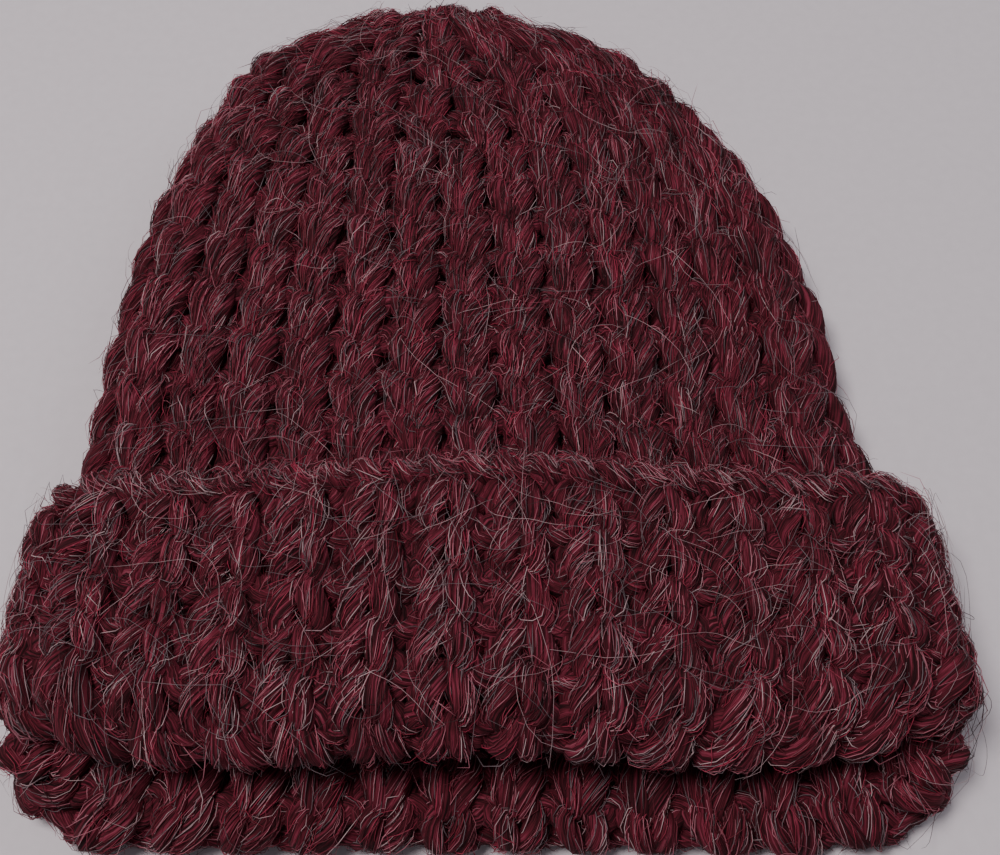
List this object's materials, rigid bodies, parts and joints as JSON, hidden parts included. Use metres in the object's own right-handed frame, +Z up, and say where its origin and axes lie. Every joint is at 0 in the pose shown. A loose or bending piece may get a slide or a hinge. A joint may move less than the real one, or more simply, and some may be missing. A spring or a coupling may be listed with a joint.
{
  "type": "knitted beanie with turned-up cuff",
  "caption": "Bulky hand-knitted one-by-one rib cap with a deep turned-up cuff and a gathered crown, lying flat on its back half; keeps the head and ears warm.",
  "frame": {"origin": "centre of the cap's outline on the surface it lies on", "axes": "+X across the cap to its right side fold, +Y from the mouth towards the crown, +Z up from the back half to the front half"},
  "size_m": [0.2186, 0.2397, 0.042],
  "materials": {
    "heathered_wool_yarn": "fuzzy, heathered burgundy wool and hair yarn"
  },
  "bodies": {
    "root": {"cast_on_edge": "heathered_wool_yarn", "cuff_turn_up": "heathered_wool_yarn", "cuff_fold": "heathered_wool_yarn", "cuff_inner_wall": "heathered_wool_yarn", "body_rib": "heathered_wool_yarn", "crown_decreases": "heathered_wool_yarn", "crown_top_rounds": "heathered_wool_yarn", "crown_gather": "heathered_wool_yarn", "closing_yarn": "heathered_wool_yarn", "closing_end": "heathered_wool_yarn"}
  },
  "joints": []
}
